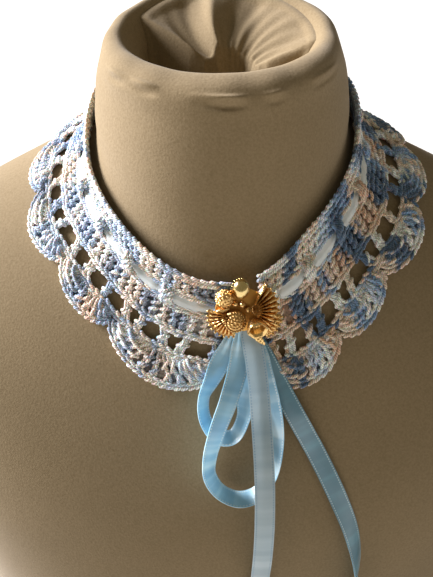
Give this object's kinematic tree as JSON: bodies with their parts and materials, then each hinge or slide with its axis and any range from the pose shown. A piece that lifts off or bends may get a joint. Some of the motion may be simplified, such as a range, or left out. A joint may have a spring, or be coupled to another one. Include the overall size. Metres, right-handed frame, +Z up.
{
  "type": "crochet choker with a ribbon and brooch on a neck and shoulders dress form",
  "caption": "Scalloped crochet choker threaded with pale blue satin ribbon and pinned with a gilt shell brooch, worn on a jersey-covered neck and shoulders dress form.",
  "frame": {"origin": "centre of the flat base of the dress form", "axes": "+Z up along the neck, -Y to the front where the brooch is, +X to the right as seen from the front"},
  "size_m": [0.3684, 0.2343, 0.394],
  "materials": {
    "jersey": "khaki knit jersey drawn over the dress form, matt with a faint nap",
    "yarn": "double-knit cotton yarn, variegated blue, cream and pale tan",
    "ribbon": "pale blue satin ribbon with woven edges",
    "gilt": "polished gilt cast metal, darker in its hollows"
  },
  "bodies": {
    "root": {"form_body": "jersey", "form_gather": "jersey", "collar_neckband": "yarn", "collar_eyelet_row": "yarn", "collar_yoke": "yarn", "collar_scallops": "yarn", "ribbon_threaded": "ribbon", "ribbon_knot": "ribbon", "ribbon_small_loop": "ribbon", "ribbon_large_loop": "ribbon", "ribbon_centre_tail": "ribbon", "ribbon_right_tail": "ribbon", "brooch_plate": "gilt", "brooch_pin": "gilt", "brooch_pearl": "gilt", "brooch_berry": "gilt", "brooch_stem": "gilt", "brooch_shell_left": "gilt", "brooch_shell_right": "gilt", "brooch_shell_low": "gilt", "brooch_seed_disc": "gilt", "brooch_bell": "gilt", "brooch_leaf": "gilt", "brooch_bead_1": "gilt", "brooch_bead_2": "gilt", "brooch_bead_3": "gilt"}
  },
  "joints": []
}
